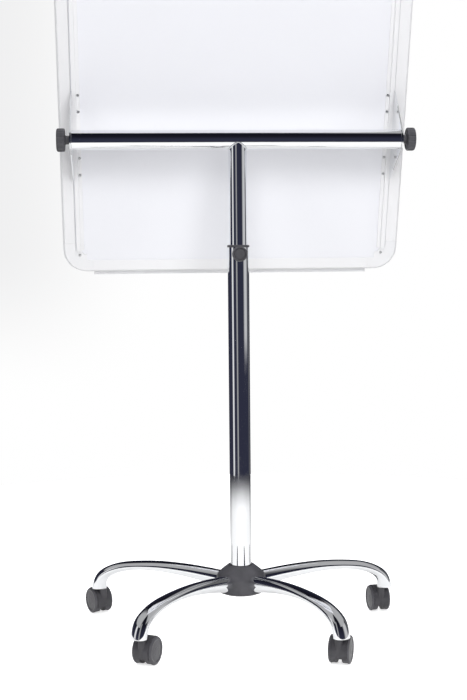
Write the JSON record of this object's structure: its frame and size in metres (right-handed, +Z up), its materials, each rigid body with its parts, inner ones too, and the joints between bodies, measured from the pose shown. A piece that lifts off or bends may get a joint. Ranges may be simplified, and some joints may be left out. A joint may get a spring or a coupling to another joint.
{
  "type": "flipchart easel",
  "caption": "Mobile flipchart easel: tilting white board on a telescopic chrome post with an arched star base on twin-wheel casters.",
  "frame": {"origin": "on the floor, on the axis of the post", "axes": "+Z up; the writing side of the board faces -Y; +X points to the left of a person who looks at the back of the board from +Y"},
  "size_m": [0.7, 0.6346, 1.6657],
  "materials": {
    "chrome": "polished chrome plate",
    "zinc_steel": "zinc-plated steel",
    "black_plastic": "moulded black plastic, fine grain",
    "wheel_plastic": "moulded black plastic, satin",
    "nylon": "natural nylon",
    "white_profile": "white powder-coated aluminium",
    "white_plastic": "white moulded plastic",
    "back_sheet": "white painted steel sheet",
    "writing_enamel": "glossy white writing lacquer",
    "core_board": "pressed board",
    "silver_profile": "satin anodised aluminium"
  },
  "bodies": {
    "base": {"hub_core": "zinc_steel", "hub_cover": "black_plastic", "hub_base_plate": "black_plastic", "leg_1": "chrome", "leg_2": "chrome", "leg_3": "chrome", "leg_4": "chrome", "leg_5": "chrome", "caster_sockets": "chrome", "caster_stems": "zinc_steel", "lower_post": "chrome", "post_collar": "black_plastic", "clamp_boss": "zinc_steel"},
    "clamp_screw": {"clamp_knob": "black_plastic", "clamp_stud": "zinc_steel"},
    "height_slide": {"glide_ring": "nylon"},
    "head": {"upper_post": "chrome", "crossbar": "chrome", "crossbar_plugs": "zinc_steel"},
    "tilt_screw_left": {"tilt_knob_left": "black_plastic", "tilt_stud_left": "zinc_steel"},
    "tilt_screw_right": {"tilt_knob_right": "black_plastic", "tilt_stud_right": "zinc_steel"},
    "board": {"writing_sheet": "writing_enamel", "core_board": "core_board", "back_sheet": "back_sheet", "frame_profiles": "white_profile", "corner_caps": "white_plastic", "board_screws": "zinc_steel", "pen_tray": "white_plastic", "clamp_base": "white_profile", "clamp_pin": "zinc_steel", "clamp_springs": "zinc_steel", "rail_left": "white_profile", "rail_right": "white_profile", "bracket_left": "chrome", "bracket_right": "chrome"},
    "clamp_flap": {"clamp_bar": "silver_profile"},
    "hook_left": {"pad_hook_left": "zinc_steel"},
    "hook_right": {"pad_hook_right": "zinc_steel"},
    "caster_1": {"caster_1_hood": "black_plastic", "caster_1_axle": "zinc_steel"},
    "caster_1_wheel_left": {"caster_1_wheel_left": "wheel_plastic"},
    "caster_1_wheel_right": {"caster_1_wheel_right": "wheel_plastic"},
    "caster_2": {"caster_2_hood": "black_plastic", "caster_2_axle": "zinc_steel"},
    "caster_2_wheel_left": {"caster_2_wheel_left": "wheel_plastic"},
    "caster_2_wheel_right": {"caster_2_wheel_right": "wheel_plastic"},
    "caster_3": {"caster_3_hood": "black_plastic", "caster_3_axle": "zinc_steel"},
    "caster_3_wheel_left": {"caster_3_wheel_left": "wheel_plastic"},
    "caster_3_wheel_right": {"caster_3_wheel_right": "wheel_plastic"},
    "caster_4": {"caster_4_hood": "black_plastic", "caster_4_axle": "zinc_steel"},
    "caster_4_wheel_left": {"caster_4_wheel_left": "wheel_plastic"},
    "caster_4_wheel_right": {"caster_4_wheel_right": "wheel_plastic"},
    "caster_5": {"caster_5_hood": "black_plastic", "caster_5_axle": "zinc_steel"},
    "caster_5_wheel_left": {"caster_5_wheel_left": "wheel_plastic"},
    "caster_5_wheel_right": {"caster_5_wheel_right": "wheel_plastic"}
  },
  "joints": [
    {"name": "post_height", "type": "slide", "parent": "base", "child": "height_slide", "axis": [0, 0, 1], "range_m": [-0.165, 0.23]},
    {"name": "head_swivel", "type": "hinge", "parent": "height_slide", "child": "head", "pos_m": [0, 0, 0.5], "axis": [0, 0, 1], "continuous": true},
    {"name": "board_tilt", "type": "hinge", "parent": "head", "child": "board", "pos_m": [0, 0, 0.9695], "axis": [1, 0, 0], "range_deg": [-71.8, 18.2]},
    {"name": "clamp_knob_turn", "type": "hinge", "parent": "base", "child": "clamp_screw", "pos_m": [0, 0.03, 0.7475], "axis": [0, 1, 0], "range_deg": [0, 450]},
    {"name": "tilt_knob_left_turn", "type": "hinge", "parent": "head", "child": "tilt_screw_left", "pos_m": [0.335, 0, 0.9695], "axis": [1, 0, 0], "range_deg": [0, 450]},
    {"name": "tilt_knob_right_turn", "type": "hinge", "parent": "head", "child": "tilt_screw_right", "pos_m": [-0.335, 0, 0.9695], "axis": [-1, 0, 0], "range_deg": [0, 450]},
    {"name": "paper_clamp_hinge", "type": "hinge", "parent": "board", "child": "clamp_flap", "pos_m": [0, 0.09494, 1.64567], "axis": [-1, 0, 0], "range_deg": [0, 40], "stiffness_Nm_per_rad": 1.2, "springref_deg": -34.38},
    {"name": "hook_left_slide", "type": "slide", "parent": "clamp_flap", "child": "hook_left", "axis": [1, 0, 0], "range_m": [-0.05, 0.05]},
    {"name": "hook_right_slide", "type": "slide", "parent": "clamp_flap", "child": "hook_right", "axis": [1, 0, 0], "range_m": [-0.05, 0.05]},
    {"name": "caster_1_swivel", "type": "hinge", "parent": "base", "child": "caster_1", "pos_m": [-0.02808, -0.3027, 0.05], "axis": [0, 0, 1], "continuous": true},
    {"name": "caster_1_left_spin", "type": "hinge", "parent": "caster_1", "child": "caster_1_wheel_left", "pos_m": [-0.01799, -0.32432, 0.026], "axis": [0.9903, -0.1392, 0], "continuous": true},
    {"name": "caster_1_right_spin", "type": "hinge", "parent": "caster_1", "child": "caster_1_wheel_right", "pos_m": [-0.04374, -0.3207, 0.026], "axis": [0.9903, -0.1392, 0], "continuous": true},
    {"name": "caster_2_swivel", "type": "hinge", "parent": "base", "child": "caster_2", "pos_m": [0.27921, -0.12025, 0.05], "axis": [0, 0, 1], "continuous": true},
    {"name": "caster_2_left_spin", "type": "hinge", "parent": "caster_2", "child": "caster_2_wheel_left", "pos_m": [0.29997, -0.13198, 0.026], "axis": [0.887, 0.4617, 0], "continuous": true},
    {"name": "caster_2_right_spin", "type": "hinge", "parent": "caster_2", "child": "caster_2_wheel_right", "pos_m": [0.27691, -0.14399, 0.026], "axis": [0.887, 0.4617, 0], "continuous": true},
    {"name": "caster_3_swivel", "type": "hinge", "parent": "base", "child": "caster_3", "pos_m": [0.20064, 0.22838, 0.05], "axis": [0, 0, 1], "continuous": true},
    {"name": "caster_3_left_spin", "type": "hinge", "parent": "caster_3", "child": "caster_3_wheel_left", "pos_m": [0.20294, 0.20464, 0.026], "axis": [0.887, -0.4617, 0], "continuous": true},
    {"name": "caster_3_right_spin", "type": "hinge", "parent": "caster_3", "child": "caster_3_wheel_right", "pos_m": [0.17988, 0.21665, 0.026], "axis": [0.887, -0.4617, 0], "continuous": true},
    {"name": "caster_4_swivel", "type": "hinge", "parent": "base", "child": "caster_4", "pos_m": [-0.15521, 0.26139, 0.05], "axis": [0, 0, 1], "continuous": true},
    {"name": "caster_4_left_spin", "type": "hinge", "parent": "caster_4", "child": "caster_4_wheel_left", "pos_m": [-0.15024, 0.23806, 0.026], "axis": [0.9336, -0.3584, 0], "continuous": true},
    {"name": "caster_4_right_spin", "type": "hinge", "parent": "caster_4", "child": "caster_4_wheel_right", "pos_m": [-0.17451, 0.24738, 0.026], "axis": [0.9336, -0.3584, 0], "continuous": true},
    {"name": "caster_5_swivel", "type": "hinge", "parent": "base", "child": "caster_5", "pos_m": [-0.29656, -0.06683, 0.05], "axis": [0, 0, 1], "continuous": true},
    {"name": "caster_5_left_spin", "type": "hinge", "parent": "caster_5", "child": "caster_5_wheel_left", "pos_m": [-0.28138, -0.08523, 0.026], "axis": [0.9936, 0.1132, 0], "continuous": true},
    {"name": "caster_5_right_spin", "type": "hinge", "parent": "caster_5", "child": "caster_5_wheel_right", "pos_m": [-0.30722, -0.08818, 0.026], "axis": [0.9936, 0.1132, 0], "continuous": true}
  ]
}
